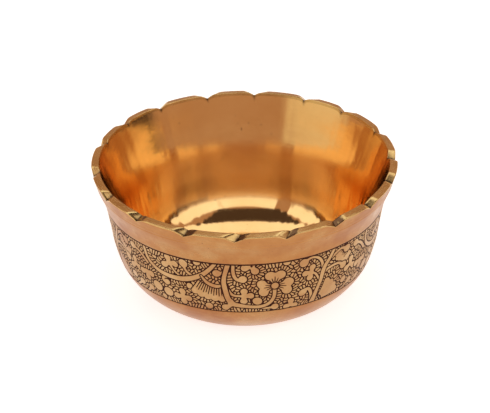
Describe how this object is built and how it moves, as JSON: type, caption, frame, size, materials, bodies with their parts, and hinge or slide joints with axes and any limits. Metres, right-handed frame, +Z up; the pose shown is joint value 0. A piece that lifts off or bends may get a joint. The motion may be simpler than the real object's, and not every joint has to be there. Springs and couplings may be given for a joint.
{
  "type": "brass bowl",
  "caption": "Small deep round brass bowl with a scalloped, flared lip and a chased floral band filled with black lac, for flowers, water or offerings.",
  "frame": {"origin": "middle of the flat base, on the surface the bowl stands on", "axes": "+Z up along the bowl's axis; -Y towards the front; the chased band's main flower is at the front"},
  "size_m": [0.1199, 0.12, 0.0545],
  "materials": {
    "brass": "turned and polished, satin outside, bright inside",
    "lac": "hard black lac, rubbed back flush"
  },
  "bodies": {
    "root": {"bowl": "brass", "lac_upper_line": "lac", "lac_ground": "lac", "lac_lower_line": "lac"}
  },
  "joints": []
}
